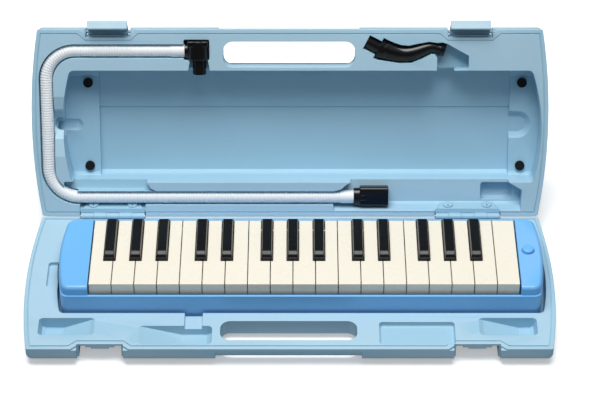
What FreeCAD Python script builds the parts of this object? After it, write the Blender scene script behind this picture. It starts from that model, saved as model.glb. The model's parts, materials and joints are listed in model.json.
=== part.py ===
"""A 32-key melodica in its open carrying case, with its blowing hose and short mouthpiece.

Frame: millimetres, +X to the player's right, +Y towards the case hinge, +Z up.
Origin: centre of the underside of the case base.
The case halves meet at the parting plane; pieces of either half are drawn in "tray space",
where that plane is z = 0 and the material lies below it.  The base is lifted to its place,
and the lid is turned over onto it and then swung open about the hinge line.
"""
import FreeCAD, Part
import math
import os
import re

from FreeCAD import Placement, Rotation, Vector

SIZES = {
    # carrying case
    "case_half_depth": (88.0, "half the case's size front to back"),
    "case_half_width": (237.0, "half the case's width at its middle"),
    "case_side_bulge": (7.5, "how far the sides bow out between the corners"),
    "base_deep": (20.5, "base thickness under the instrument"),
    "base_thin": (15.0, "base thickness at the handle side"),
    "base_step_y": (-46.5, "where the base steps from thin to deep"),
    "lid_deep": (38.5, "lid thickness over the instrument"),
    "lid_thin": (17.0, "lid thickness at the handle side"),
    "lid_step_y": (-51.5, "where the lid steps from thin to deep"),
    "lid_gap": (0.3, "gap between the closed halves"),
    "lid_open": (114.76, "lid opening angle from closed, degrees"),
    "rim_round": (0.8, "rounding of the edges at the parting plane"),
    "slot_half_length": (60.1, "half the length of the hand slot"),
    "slot_front": (-76.9, "front edge of the hand slot"),
    "slot_back": (-52.9, "back edge of the hand slot"),
    "fittings_x": (-0.8, "centre line of the handle and latches"),
    "latch_offset": (164.6, "latch centre from that centre line"),
    "latch_width": (36.2, "width of a latch"),
    "latch_pivot_y": (-84.3, "latch pivot, front to back, lid closed"),
    "latch_pivot_up": (9.0, "latch pivot above the parting plane, lid closed"),
    "latch_swing": (30.0, "latch swung out from locked, degrees"),
    "trunnion_r": (1.6, "radius of the latch trunnions"),
    "hinge_x": (164.5, "hinge centre from the case centre"),
    "hinge_width": (59.2, "width of a hinge leaf"),
    "hinge_pin_r": (1.3, "hinge pin radius"),
    "knuckle_r": (3.2, "hinge knuckle radius"),
    "running_clearance": (0.07, "radial clearance of a pin that turns"),
    "pad_r": (4.45, "radius of a lid pad"),
    # hose set and mouthpiece
    "hose_r": (5.8, "outer radius of the hose"),
    "hose_bore_r": (4.2, "inner radius of the hose"),
    "hose_sunk": (6.3, "hose centre below the lid's rim"),
    "plug_r": (6.2, "radius of a plug that fits the blow socket"),
    "plug_length": (12.5, "length of that plug"),
    "collar_half_width": (9.8, "half the width of the mouthpiece's collar"),
    "flange_half_width": (6.6, "half the width of the mouthpiece's lip flange"),
    # instrument
    "body_left": (-206.5, "left end of the body, at its middle"),
    "body_right": (226.5, "right end of the body, at its middle"),
    "body_bulge": (5.3, "how far the body's ends bow out"),
    "body_front": (-40.0, "front face of the body"),
    "body_back": (54.0, "back face of the body"),
    "body_bottom": (-16.5, "underside of the body, from the parting plane"),
    "body_seam": (-4.0, "seam between the covers, from the parting plane"),
    "body_top": (27.0, "top of the cheeks, from the parting plane"),
    "rail_top": (17.6, "top of the front rail, from the parting plane"),
    "cheek_set_back": (1.3, "how far the cheeks stand back from the front rail"),
    "body_wall": (2.2, "wall thickness of the covers"),
    "keys_left": (-177.1, "left edge of the keyboard"),
    "white_pitch": (20.0, "white key pitch"),
    "white_gap": (0.7, "gap between keys"),
    "white_front": (-35.0, "front of the white keys"),
    "keys_back": (50.3, "back of the keys"),
    "white_top": (27.8, "top of the white keys, from the parting plane"),
    "black_top": (34.3, "top of the black keys, from the parting plane"),
    "black_width": (9.8, "width of a black key"),
    "black_front": (-3.8, "front of a black key at its foot"),
    "key_pivot_y": (46.0, "key pivot, front to back"),
    "key_pivot_up": (19.0, "key pivot above the parting plane"),
    "pivot_rod_r": (1.5, "radius of the key pivot rod"),
    "semitone_pitch": (11.6667, "pitch of the reed cells"),
    "first_cell": (5.9, "first cell centre from the keyboard's left edge"),
    "socket_mouth": (-208.4, "left end of the blow socket"),
    "socket_y": (8.0, "blow socket centre, front to back"),
    "socket_up": (1.0, "blow socket centre above the parting plane"),
    "socket_bore_r": (6.25, "radius of the blow socket"),
    "drain_x": (213.0, "drain button centre"),
    "drain_y": (10.6, "drain button centre, front to back"),
}

doc = FreeCAD.newDocument("melodica")
sheet = doc.addObject("Spreadsheet::Sheet", "dims")
for row, (alias, (value, note)) in enumerate(SIZES.items(), 1):
    sheet.set(f"A{row}", note)
    sheet.set(f"B{row}", str(value))
    sheet.setAlias(f"B{row}", alias)
doc.recompute()


def dim(alias):
    """A size from the sheet."""
    return float(sheet.get(alias))


# ---------------------------------------------------------------- document helpers

NODES = {}
SHEET_WORD = re.compile(r"\b(" + "|".join(SIZES) + r")\b")


def bind(thing, prop, expression):
    """Bind a property to an expression in which sheet aliases stand alone."""
    thing.setExpression(prop, SHEET_WORD.sub(r"dims.\1", str(expression)))


def place(thing, x, y, z):
    for letter, expression in zip("xyz", (x, y, z)):
        bind(thing, f"Placement.Base.{letter}", expression)


def box(name, size, corner):
    """A bound box: size and lowest corner as expressions."""
    thing = doc.addObject("Part::Box", name)
    for prop, expression in zip(("Length", "Width", "Height"), size):
        bind(thing, prop, expression)
    place(thing, *corner)
    return thing


def rod_along_x(name, radius, length, start):
    """A bound cylinder lying along +X from a start point."""
    thing = doc.addObject("Part::Cylinder", name)
    bind(thing, "Radius", radius)
    bind(thing, "Height", length)
    thing.Placement.Rotation = Rotation(Vector(0, 1, 0), 90)
    place(thing, *start)
    return thing


def post(name, radius, height, foot):
    """A bound upright cylinder."""
    thing = doc.addObject("Part::Cylinder", name)
    bind(thing, "Radius", radius)
    bind(thing, "Height", height)
    place(thing, *foot)
    return thing


def drawn(name, shape):
    """A piece whose outline needs more than primitives."""
    thing = doc.addObject("Part::Feature", name)
    thing.Shape = shape
    return thing


def joined(name, things):
    thing = doc.addObject("Part::MultiFuse", name)
    thing.Shapes = things
    return thing


def cut(name, base, tool):
    thing = doc.addObject("Part::Cut", name)
    thing.Base = base
    thing.Tool = tool
    return thing


def group(name, things):
    """Separate solids that share one node."""
    thing = doc.addObject("Part::Compound", name)
    thing.Links = things
    return thing


def node(label, thing, placement=None):
    """Name a finished piece and set it in the object's frame."""
    thing.Label = label
    if placement is not None:
        thing.Placement = placement
    NODES[label] = thing
    return thing


# ---------------------------------------------------------------- shape helpers


def slab(outline, top, depth):
    """A straight-sided solid below z = top with a plan outline of points or edges."""
    wire = Part.Wire(Part.__sortEdges__(outline)) if isinstance(outline[0], Part.Edge) else \
        Part.makePolygon([Vector(x, y, 0) for x, y in outline + outline[:1]])
    solid = Part.Face(wire).extrude(Vector(0, 0, -depth))
    solid.translate(Vector(0, 0, top))
    return solid


def block(x0, x1, y0, y1, z0, z1):
    return Part.makeBox(x1 - x0, y1 - y0, z1 - z0, Vector(x0, y0, z0))


def disc(radius, x, y, z0, z1):
    return Part.makeCylinder(radius, z1 - z0, Vector(x, y, z0))


def bar(radius, x0, x1, y, z):
    return Part.makeCylinder(radius, x1 - x0, Vector(x0, y, z), Vector(1, 0, 0))


def side_profile(points, x0, x1):
    """A solid of constant side view: (y, z) points swept along X."""
    wire = Part.makePolygon([Vector(x0, y, z) for y, z in points + points[:1]])
    return Part.Face(wire).extrude(Vector(x1 - x0, 0, 0))


def front_profile(points, y0, y1):
    """A solid of constant front view: (x, z) points swept along Y."""
    wire = Part.makePolygon([Vector(x, y0, z) for x, z in points + points[:1]])
    return Part.Face(wire).extrude(Vector(0, y1 - y0, 0))


def barrel(front, back, left, right, bulge):
    """Plan outline with straight front and back and sides that bow out by a bulge."""
    middle = (front + back) / 2
    corners = [Vector(left + bulge, front, 0), Vector(left + bulge, back, 0),
               Vector(right - bulge, back, 0), Vector(right - bulge, front, 0)]
    return [
        Part.Arc(corners[0], Vector(left, middle, 0), corners[1]).toShape(),
        Part.LineSegment(corners[1], corners[2]).toShape(),
        Part.Arc(corners[2], Vector(right, middle, 0), corners[3]).toShape(),
        Part.LineSegment(corners[3], corners[0]).toShape(),
    ]


def upright_edges(shape):
    return [e for e in shape.Edges
            if len(e.Vertexes) == 2 and abs(e.Vertexes[0].Z - e.Vertexes[1].Z) > 1
            and math.hypot(e.Vertexes[0].X - e.Vertexes[1].X, e.Vertexes[0].Y - e.Vertexes[1].Y) < 1e-3]


def edges_at(shape, z):
    return [e for e in shape.Edges if all(abs(v.Z - z) < 1e-4 for v in e.Vertexes)
            and abs(e.BoundBox.ZMax - e.BoundBox.ZMin) < 1e-4]


def moulded(outline, top, depth, corner, floor):
    """A slab with rounded upright corners and a rounded floor edge."""
    solid = slab(outline, top, depth)
    if corner:
        solid = solid.makeFillet(corner, upright_edges(solid))
    if floor:
        solid = solid.makeFillet(floor, edges_at(solid, top - depth))
    return solid


def rect(x0, x1, y0, y1):
    return [(x0, y0), (x1, y0), (x1, y1), (x0, y1)]


def mirrored_in_z(shape):
    return shape.mirror(Vector(0, 0, 0), Vector(0, 0, 1))


def all_of(shapes):
    return shapes[0].multiFuse(shapes[1:]) if len(shapes) > 1 else shapes[0]


# ---------------------------------------------------------------- case frame

HALF = dim("case_half_depth")
DEPTH = 2 * HALF
PARTING = dim("base_deep")
RISE = Placement(Vector(0, 0, PARTING), Rotation())
HINGE_LINE = Vector(0, HALF, PARTING)
LID_REST = Placement(HINGE_LINE, Rotation(Vector(1, 0, 0), 180 - dim("lid_open")))
LATCHES = [dim("fittings_x") + side * dim("latch_offset") for side in (-1, 1)]
HINGES = [side * dim("hinge_x") for side in (-1, 1)]
BELOW = 60.0
WIDE = 300.0


def case_side_lines(front, back, inset=0.0):
    """Plan outline of the case between two distances from its hand slot edge to its hinge edge."""
    reach, bulge = dim("case_half_width"), dim("case_side_bulge")
    radius = (HALF ** 2 + bulge ** 2) / (2 * bulge)

    def side(x_sign, y):
        return Vector(x_sign * (reach - inset - radius + math.sqrt(radius ** 2 - y ** 2)), y, 0)
    middle = (front + back) / 2
    corners = [side(-1, front), side(-1, back), side(1, back), side(1, front)]
    return [
        Part.Arc(corners[0], side(-1, middle), corners[1]).toShape(),
        Part.LineSegment(corners[1], corners[2]).toShape(),
        Part.Arc(corners[2], side(1, middle), corners[3]).toShape(),
        Part.LineSegment(corners[3], corners[0]).toShape(),
    ]


def rim_groove(width=0.9, depth=0.8):
    """The fine step that runs round each half, dodging inwards behind the latches."""
    def band(inset):
        sides = case_side_lines(-HALF + inset, HALF - inset, inset)
        left, right = sorted((v.Point for v in sides[3].Vertexes), key=lambda p: p.x)
        points = [left]
        for centre in LATCHES:
            for offset, y in ((-27.5, -HALF + inset), (-20.5, -81.8 + inset),
                              (20.5, -81.8 + inset), (27.5, -HALF + inset)):
                points.append(Vector(centre + offset, y, 0))
        points.append(right)
        lines = [Part.LineSegment(a, b).toShape() for a, b in zip(points, points[1:])]
        return slab(sides[:3] + lines, 0.5, depth + 0.5)
    return band(3.4).cut(band(3.4 + width))


def latch_notches(wall_y, shoulder_depth):
    """The gaps in the front rim that the latches swing in, with slanting shoulders."""
    tools = []
    for centre in LATCHES:
        tools.append(block(centre - 20.3, centre + 20.3, -HALF - 5, wall_y, -BELOW, 1))
        tools.append(slab([(centre - 20.3, -84.0), (centre + 20.3, -84.0), (centre + 26.4, -HALF - 1),
                           (centre - 26.4, -HALF - 1)], 1, shoulder_depth + 1))
    return tools


def hand_slot():
    centre, reach = dim("fittings_x"), dim("slot_half_length")
    return moulded(rect(centre - reach, centre + reach, dim("slot_front"), dim("slot_back")),
                   1, BELOW, 9.0, 0)


def grip_rounding(thickness, radius=11.0):
    """The extra rounding of the bar in front of the hand slot."""
    centre = dim("fittings_x")
    reach = dim("slot_half_length") + 4
    height = radius - thickness + 0.8
    stock = block(centre - reach, centre + reach, -HALF - 1, -HALF + radius, -BELOW, height)
    return stock.cut(bar(radius, centre - reach - 1, centre + reach + 1, -HALF + radius, height))


def half_shell(thin, deep, step_y, slope):
    """The outside of one case half: thin at the handle, deep over the instrument.

    The thin part's upright corners are nearly sharp at the rim and widen towards the outer face.
    """
    sharp, soft, edge = 1.5, 7.0, 6.0
    deep_rear, deep_edge = 2.5, 2.4
    thin_part = slab(case_side_lines(-HALF, HALF), 0, thin)
    thin_part = thin_part.makeFillet(sharp, soft, upright_edges(thin_part))
    thin_part = thin_part.makeFillet(edge, edges_at(thin_part, -thin))
    thin_part = thin_part.makeFillet(dim("rim_round"), edges_at(thin_part, 0))
    thin_part = thin_part.common(block(-WIDE, WIDE, -WIDE, -30, -BELOW, 1))
    deep_part = slab(case_side_lines(step_y, HALF), 0, deep)
    front_corners = [e for e in upright_edges(deep_part) if e.Vertexes[0].Y < 0]
    deep_part = deep_part.makeFillet(soft, front_corners)
    rear_corners = [e for e in upright_edges(deep_part) if e.Vertexes[0].Y > 80]
    deep_part = deep_part.makeFillet(deep_rear, rear_corners)
    if slope:
        deep_part = deep_part.cut(side_profile(slope, -WIDE, WIDE))
    bottom = [e for e in deep_part.Edges if e.BoundBox.ZMax < -thin]
    deep_part = deep_part.makeFillet(deep_edge, bottom)
    rim = [e for e in edges_at(deep_part, 0) if e.BoundBox.YMax > step_y + 8]
    deep_part = deep_part.makeFillet(dim("rim_round"), rim)
    return thin_part.fuse(deep_part).removeSplitter()


# ---------------------------------------------------------------- case base


def tray_recess():
    """The hollow that the instrument sits in, with a shallow bay beside the blow socket."""
    front, back = -42.6, 57.4
    floor = -17.0
    outline = barrel(front, back, dim("body_left") - 2.4, dim("body_right") + 3.4, dim("body_bulge"))
    main = slab(outline, 1, 1 - floor)
    main = main.makeFillet(5.0, upright_edges(main))
    main = main.makeFillet(2.5, edges_at(main, floor))
    bay = moulded(rect(-218.4, -200, -8.4, 24.2), 1, 5.0, 3.0, 2.0)
    return main.fuse(bay).removeSplitter()


def ramp_pocket(x_end, x_deep, x_shallow):
    """A thumb pocket whose floor ramps up to the rim."""
    side = 1 if x_shallow > x_end else -1
    profile = [(x_end, 1), (x_end + side * 2.5, -9.5), (x_end + side * 6.0, -11.5), (x_deep, -11.5),
               (x_shallow - side * 4.0, -2.4), (x_shallow, 0), (x_shallow, 1)]
    plan = moulded(rect(min(x_end, x_shallow), max(x_end, x_shallow), -70.3, -49.0), 1, 20, 4.0, 0)
    return plan.common(front_profile(profile, -80, -40))


def base_pockets():
    slope = front_profile([(-132, 1), (-132, 0), (-126, -2.0), (-95, -10.5), (-73, -10.5), (-68, -7),
                           (-68, 1)], -90, -50)
    slope = slope.common(moulded(rect(-132, -68, -82.0, -59.0), 1, 20, 4.0, 0))
    channel = moulded(rect(-92.7, -76.7, -64, -40), 1, 5.0, 0, 1.5)
    flat = moulded(rect(78.7, 145.0, -82.4, -54.1), 1, 6.0, 3.0, 2.0)
    return [ramp_pocket(-221.0, -200.0, -171.5), ramp_pocket(217.8, 202.4, 166.5),
            slope, channel, flat]


def base_latch_undercuts():
    """Room behind the thin front flange for the latch hook, with its two-step stop rib."""
    tools = []
    for centre in LATCHES:
        hollow = side_profile([(-83, -2.0), (-76.5, -2.0), (-76.5, -6.8), (-66.5, -16.2), (-83, -16.2)],
                              centre - 18.6, centre + 18.6)
        ribs = [block(centre - 12.7, centre + 12.7, -82.0, -80.0, -4.0, -1.9),
                block(centre - 7.8, centre + 7.8, -82.0, -80.8, -5.6, -3.9)]
        tools.append(hollow.cut(ribs))
    return tools


def hinge_leaf_seat(centre):
    """The shallow seat in the rear face that takes the base leaf, and room for the knuckles."""
    reach = dim("hinge_width") / 2 + 0.9
    leaf = block(centre - reach, centre + reach, HALF - 2.2, HALF + 5, -14.5, 1)
    return [leaf, bar(dim("knuckle_r") + 0.6, centre - reach, centre + reach, HALF, 0)]


def make_case_base():
    shape = half_shell(dim("base_thin"), dim("base_deep"), dim("base_step_y"), None)
    tools = [tray_recess(), hand_slot(), rim_groove(), grip_rounding(dim("base_thin"))]
    tools += latch_notches(-82.0, 2.0)
    tools += base_latch_undercuts()
    tools += base_pockets()
    for centre in HINGES:
        tools += hinge_leaf_seat(centre)
    return shape.cut(tools).removeSplitter()


# ---------------------------------------------------------------- case lid

HOSE_ROUTE = [(-94.0, 155.8), (-223.0, 155.8), (-223.0, 17.3), (61.0, 17.3)]
HOSE_BENDS = (27.0, 28.0)


def lid_slope():
    step = dim("lid_step_y")
    return [(step - 20, -BELOW), (step - 20, -26.0), (step, -29.5), (-8, -dim("lid_deep")), (0, -BELOW)]


def in_lid(shape):
    """Turn a shape drawn like the base round so that its hinge edge is at y = 0."""
    turned = shape.mirror(Vector(0, 0, 0), Vector(0, 1, 0))
    turned.translate(Vector(0, HALF, 0))
    return turned


def hose_path(sunk):
    """The hose's centre line: three straight runs joined by tangent bends."""
    points = [Vector(x, y, -sunk) for x, y in HOSE_ROUTE]
    edges, start = [], points[0]
    for corner, after, radius in zip(points[1:], points[2:], HOSE_BENDS):
        before = (start - corner).normalize()
        onward = (after - corner).normalize()
        entry, leave = corner + before * radius, corner + onward * radius
        inner = entry + onward * radius
        middle = inner + (corner - inner).normalize() * radius
        edges.append(Part.LineSegment(start, entry).toShape())
        edges.append(Part.Arc(entry, middle, leave).toShape())
        start = leave
    edges.append(Part.LineSegment(start, points[-1]).toShape())
    return Part.Wire(edges)


def swept_section(path, section_points):
    """Sweep a section given across and up from the path's start, square to it."""
    start = path.Edges[0].Vertexes[0].Point
    wire = Part.makePolygon([start + Vector(0, a, b) for a, b in section_points + section_points[:1]])
    return path.makePipeShell([wire], True, True)


def hose_channel():
    half, top, low = 6.6, dim("hose_sunk") + 1, dim("hose_sunk") - 12.8
    section = [(-half, top), (half, top), (half, low + 4), (half - 1.2, low + 1.4), (half - 4, low),
               (4 - half, low), (1.2 - half, low + 1.4), (-half, low + 4)]
    return swept_section(hose_path(dim("hose_sunk")), section)


def lid_cavity():
    """The hollow over the keyboard: deep floor, a step, a slope to the slot, a raised ledge each end."""
    left, right, low, high = -208.7, 231.0, 32.2, 138.0
    outline = [
        Part.Arc(Vector(-201.6, low, 0), Vector(left, 80, 0), Vector(-201.0, high, 0)).toShape(),
        Part.LineSegment(Vector(-201.0, high, 0), Vector(221.0, high, 0)).toShape(),
        Part.Arc(Vector(221.0, high, 0), Vector(right, 80, 0), Vector(224.5, low, 0)).toShape(),
        Part.LineSegment(Vector(224.5, low, 0), Vector(-201.6, low, 0)).toShape(),
    ]
    full = slab(outline, 1, BELOW)
    full = full.makeFillet(5.0, upright_edges(full))
    deep = side_profile([(30, 2), (30, -29), (33.5, -34), (36, -35.5), (96.0, -35.5), (96.7, -34.4),
                         (133, -29.5), (138, -26), (140, 2)], -177.0, 203.5)
    ledge = side_profile([(30, 2), (30, -26), (33, -29), (35.5, -30), (126.5, -30), (134, -27),
                          (138, -24), (140, 2)], -WIDE, WIDE)
    return full.common(deep.fuse(ledge)).removeSplitter()


def lid_trough():
    """The trough beside the hinge that takes the hose's flat end, with a deeper finger pocket."""
    lean = side_profile([(5.2, 1), (5.2, 0.01), (9.0, -11.0), (11.0, -13.0), (33.5, -13.0), (33.5, 1)],
                        39.0, 216.0)
    outline = [(40.0, -20), (40.0, 23.9), (47.0, 25.5), (52.0, 30.0), (58.0, 33.5), (200.4, 33.5),
               (214.5, 25.0), (212.0, -20)]
    ends = slab(outline, 1, BELOW)
    pocket = moulded(rect(176.8, 206.3, 12.6, 29.4), 1, 23.0, 3.0, 3.0)
    finger = slab([(-209, 24), (-124, 24), (-129, 26.5), (-133, 33), (-209, 33)], 1, 13.5)
    return [lean.common(ends), pocket, finger]


def elbow_recess():
    seat = moulded(rect(-96.7, -73.3, 147.4, 166.8), 1, 15.8, 1.5, 1.5)
    spout = slab([(-90.8, 148), (-74.8, 148), (-72.6, 136), (-93.4, 136)], 1, 12.2)
    return [seat, spout]


def mouthpiece_recess():
    outline = [(134, 136), (162.9, 139.7), (162.9, 151.7), (142.6, 163.2), (136, 163.2), (134, 156)]
    grip = slab(outline, 1, 15.0)
    return [slab(mouthpiece_outline(0.8), 1, 15.6), grip.makeFillet(1.5, upright_edges(grip))]


def lid_side_recesses():
    """The stepped notch beside the blow socket, its round dimple, and the bay over the drain button."""
    steps = side_profile([(57, 1), (57, -0.3), (73, -4.0), (78, -10.0), (83, -13.0), (91, -13.0), (97, -10.0),
                          (101, -4.0), (113.5, -0.3), (113.5, 1)], -217.4, -203.0)
    dimple = disc(6.1, -210.6, 85.6, -17.0, 1)
    trace = bar(9.0, -215.0, -198.0, 80.3, -23.0)
    trace_end = Part.makeSphere(9.0, Vector(-198.0, 80.3, -23.0))
    middle, reach, low, bay_x = 80.4, 12.9, -35.3, 211.3
    slope = reach - 5.0
    bay = side_profile([(middle - reach, LEDGE + 0.1), (middle - slope, low), (middle + slope, low),
                        (middle + reach, LEDGE + 0.1)], 199.0, bay_x)
    bay_end = Part.makeCone(slope, reach, LEDGE + 0.1 - low, Vector(bay_x, middle, low))
    return [steps, dimple, trace, trace_end, bay, bay_end]


def lid_hinge_relief(centre):
    """Room for the knuckles, the seat of the leaf on the rim and the leaning wall below it."""
    reach = dim("hinge_width") / 2 + 0.9
    room = bar(dim("knuckle_r") + 0.6, centre - reach, centre + reach, 0, 0)
    seat = block(centre - reach, centre + reach, -1, 6, -1.85, 1)
    wall = side_profile([(5.2, 1), (5.2, 0.01), (9.0, -11.0), (11.0, -13.0), (16.0, -13.0), (16.0, 1)],
                        centre - reach, centre + reach)
    return [room, seat, wall]


def make_case_lid():
    outside = half_shell(dim("lid_thin"), dim("lid_deep"), dim("lid_step_y"), lid_slope())
    grooves = [hand_slot(), rim_groove(), grip_rounding(dim("lid_thin"))]
    grooves += latch_notches(-80.6, 4.5)
    tools = [in_lid(tool) for tool in grooves]
    tools.append(block(-WIDE, WIDE, -1, DEPTH + 1, -dim("lid_gap"), 1))
    for centre in HINGES:
        tools += lid_hinge_relief(centre)
    tools += [lid_cavity(), hose_channel()] + lid_trough() + elbow_recess() + mouthpiece_recess()
    tools += lid_side_recesses()
    for centre in LATCHES:
        tools.append(bar(dim("trunnion_r") + dim("running_clearance"), centre - 25, centre + 25,
                         HALF - dim("latch_pivot_y"), -dim("latch_pivot_up")))
    return in_lid(outside).cut(tools).removeSplitter()


# ---------------------------------------------------------------- hinges, pads, latches

KNUCKLE_STEPS = 5


def knuckle_spans(centre, turns):
    """Where every second knuckle starts and ends along X: turns 0 for the base, 1 for the lid."""
    width = dim("hinge_width") / KNUCKLE_STEPS
    start = centre - dim("hinge_width") / 2
    return [(start + step * width + 0.06, start + (step + 1) * width - 0.06)
            for step in range(turns, KNUCKLE_STEPS, 2)]


def knuckles(centre, turns, bore):
    """The knuckles of one leaf about the origin, and the bore through them."""
    barrels = [bar(dim("knuckle_r"), x0, x1, 0, 0) for x0, x1 in knuckle_spans(centre, turns)]
    reach = dim("hinge_width") / 2 + 1
    return barrels, bar(bore, centre - reach, centre + reach, 0, 0)


def make_hinge_leaf_base(centre):
    """A flat leaf in the seat of the base's rear face; its knuckles grip the pin."""
    rolled, bore = knuckles(centre, 0, dim("hinge_pin_r"))
    half = dim("hinge_width") / 2
    leaf = block(centre - half, centre + half, -2.0, -0.5, -14.0, -4.2)
    necks = [block(x0, x1, -2.0, -0.5, -4.6, -1.0) for x0, x1 in knuckle_spans(centre, 0)]
    return all_of([leaf] + necks + rolled).cut(bore).removeSplitter()


def make_hinge_leaf_lid(centre):
    """A leaf that runs over the lid's rim and bends down the trough's leaning wall."""
    rolled, bore = knuckles(centre, 1, dim("hinge_pin_r") + dim("running_clearance"))
    half = dim("hinge_width") / 2
    top, under, wall_y = -0.35, -1.85, 5.88
    low = -10.8
    lean = (9.0 - 5.2) / 11.0
    drop = (under - low) * lean
    edge = dim("knuckle_r") + 0.2
    bent = side_profile([(edge, top), (7.3, top), (7.5 + drop, low + 0.4), (wall_y + drop, low),
                         (wall_y, under), (edge, under)], centre - half, centre + half)
    taper = slab([(centre - half, edge), (centre + half, edge), (centre + half, 6.0),
                  (centre + half - 8, 12.0), (centre - half + 8, 12.0), (centre - half, 6.0)], 1, 20)
    necks = [block(x0, x1, 0, 4.2, under, top) for x0, x1 in knuckle_spans(centre, 1)]
    return all_of([bent.common(taper)] + necks + rolled).cut(bore).removeSplitter()


def make_rivet_heads(centre):
    """Domed rivets that fix the lid leaf to the leaning wall."""
    heads = []
    normal = Vector(0, 11.0, 3.8).normalize()
    for offset in (-18.0, 18.0):
        foot = Vector(centre + offset, 9.3, -6.0)
        head = Part.makeCylinder(4.6, 1.5, foot, normal)
        rims = [e for e in head.Edges if e.Closed and (e.Curve.Center - foot).dot(normal) > 1]
        heads.append(head.makeFillet(0.9, rims))
    return heads


def latch_section(centre):
    """A latch drawn with +Y away from the case and +Z towards the base, about its pivot."""
    width = dim("latch_width")
    outline = [(3.0, 0), (3.0, 13.0), (5.3, 14.2), (5.3, 16.2), (2.9, 16.4), (2.9, 18.2), (-3.0, 18.2),
               (-3.6, 17.5), (-3.6, 15.9), (-2.9, 15.2), (0.4, 15.2), (0.4, 0)]
    plate = side_profile(outline, centre - width / 2, centre + width / 2)
    barrel_part = bar(3.1, centre - width / 2, centre + width / 2, 0, 0)
    trunnion = bar(dim("trunnion_r"), centre - 23.5, centre + 23.5, 0, 0)
    return plate.fuse([barrel_part, trunnion]).removeSplitter()


LID_LATCH = Vector(0, HALF - dim("latch_pivot_y"), -dim("latch_pivot_up"))
SWUNG_OUT = Placement(LID_LATCH, Rotation(Vector(1, 0, 0), -dim("latch_swing")))

PADS = [(x, y) for x in (-187.1, 214.5) for y in (41.2, 120.5)]
PAD_FACE = -27.4
LEDGE = -30.0


# ---------------------------------------------------------------- hose set and mouthpiece


def tube_along(path_wire, outer, bore, start_direction=Vector(1, 0, 0)):
    """A round tube along a wire."""
    start = path_wire.Edges[0].Vertexes[0].Point
    solids = []
    for radius in (outer, bore):
        ring = Part.Wire(Part.makeCircle(radius, start, start_direction))
        solids.append(path_wire.makePipeShell([ring], True, True))
    return solids[0].cut(solids[1])


def make_hose_tube():
    return tube_along(hose_path(dim("hose_sunk")), dim("hose_r"), dim("hose_bore_r"))


def make_hose_cuffs():
    """The smooth sleeves moulded over the two ends of the hose."""
    sunk, outer, grip = -dim("hose_sunk"), 6.15, dim("hose_r")
    sleeves = []
    for x0, x1, y in ((-108.0, -95.9, HOSE_ROUTE[0][1]), (46.0, 58.6, HOSE_ROUTE[-1][1])):
        sleeves.append(bar(outer, x0, x1, y, sunk).cut(bar(grip, x0 - 1, x1 + 1, y, sunk)))
    return sleeves


def make_hose_elbow():
    """The angled plug: a hose collar, a standing barrel and a spout that fits the blow socket."""
    hose_y, hose_z = HOSE_ROUTE[0][1], -dim("hose_sunk")
    spout_x, spout_z = -82.6, -4.4
    collar = bar(7.3, -95.8, -86.0, hose_y, hose_z)
    cap = Part.makeCylinder(9.8, 17.6, Vector(spout_x - 1.2, 148.1, spout_z), Vector(0, 1, 0))
    cap = cap.makeFillet(1.0, [e for e in cap.Edges if e.Closed])
    brow = block(-93.4, -74.4, 160.5, 165.9, spout_z - 8.6, spout_z + 9.0)
    brow = brow.makeFillet(1.2, brow.Edges)
    spout = Part.makeCone(dim("plug_r") - 0.1, dim("plug_r") + 0.1, dim("plug_length") + 2,
                          Vector(spout_x, 134.0, spout_z), Vector(0, 1, 0))
    spout = spout.makeFillet(0.6, [e for e in spout.Edges if e.Closed and e.BoundBox.YMax < 135])
    body = all_of([collar, cap, brow, spout])
    hose_seat = bar(dim("hose_r"), -97.0, -93.9, hose_y, hose_z)
    hose_way = bar(dim("hose_bore_r"), -96.0, spout_x, hose_y, hose_z)
    spout_way = Part.makeCylinder(4.4, 24, Vector(spout_x, 133, spout_z), Vector(0, 1, 0))
    return body.cut([hose_seat, hose_way, spout_way]).removeSplitter()


def oval(x, y, z, direction, half_width, half_height):
    """An oval wire square to a horizontal direction."""
    across = Vector(-direction.y, direction.x, 0)
    ellipse = Part.Ellipse(Vector(0, 0, 0), half_width, half_height) if half_width > half_height \
        else Part.Ellipse(Vector(0, 0, 0), half_height, half_width)
    edge = ellipse.toShape()
    if half_width < half_height:
        edge.rotate(Vector(0, 0, 0), Vector(0, 0, 1), 90)
    frame = FreeCAD.Matrix(across.x, 0, direction.x, x, across.y, 0, direction.y, y, 0, 1, 0, z, 0, 0, 0, 1)
    edge.transformShape(frame)
    return Part.Wire(edge)


def make_hose_lip_piece():
    """The flat lip piece on the hose's other end, with an oval collar."""
    y, z = HOSE_ROUTE[-1][1], -dim("hose_sunk")
    along = Vector(1, 0, 0)
    collar = Part.makeLoft([oval(58.9, y, z, along, 8.2, 5.9), oval(66.0, y, z, along, 8.4, 5.9)], True)
    tube = bar(6.1, 59.5, 68.0, y, z)
    tube_end = Part.makeSphere(6.1, Vector(68.0, y, z))
    lip = block(64.5, 91.0, 9.3, 27.2, z - 5.4, z + 5.4)
    lip = lip.makeFillet(2.4, [e for e in lip.Edges if abs(e.tangentAt(e.FirstParameter).x) > 0.9])
    lip = lip.makeFillet(0.8, [e for e in lip.Edges if e.BoundBox.XMin > 90.9 or e.BoundBox.XMax < 64.6])
    way = block(60.5, 92.0, y - 5.5, y + 5.5, z - 2.4, z + 2.4)
    hose_seat = bar(dim("hose_r"), 57.0, 61.2, y, z)
    return all_of([collar, tube, tube_end, lip]).cut([hose_seat, way]).removeSplitter()


MOUTHPIECE_DEPTH = -6.5
PLUG_END = (70.2, 164.3)
PLUG_ROOT = (82.0, 158.2)
NECK_LINE = [(86.0, 157.2, 8.7), (92.5, 154.9, 8.5), (100.3, 153.1, 7.9), (109.5, 153.0, 7.5),
             (118.5, 155.9, 6.6), (127.6, 158.8, 5.3), (133.0, 158.2, 4.8), (137.0, 157.0, 4.9)]
LIP_WAY = Vector(0.95, -0.31, 0).normalize()


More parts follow.
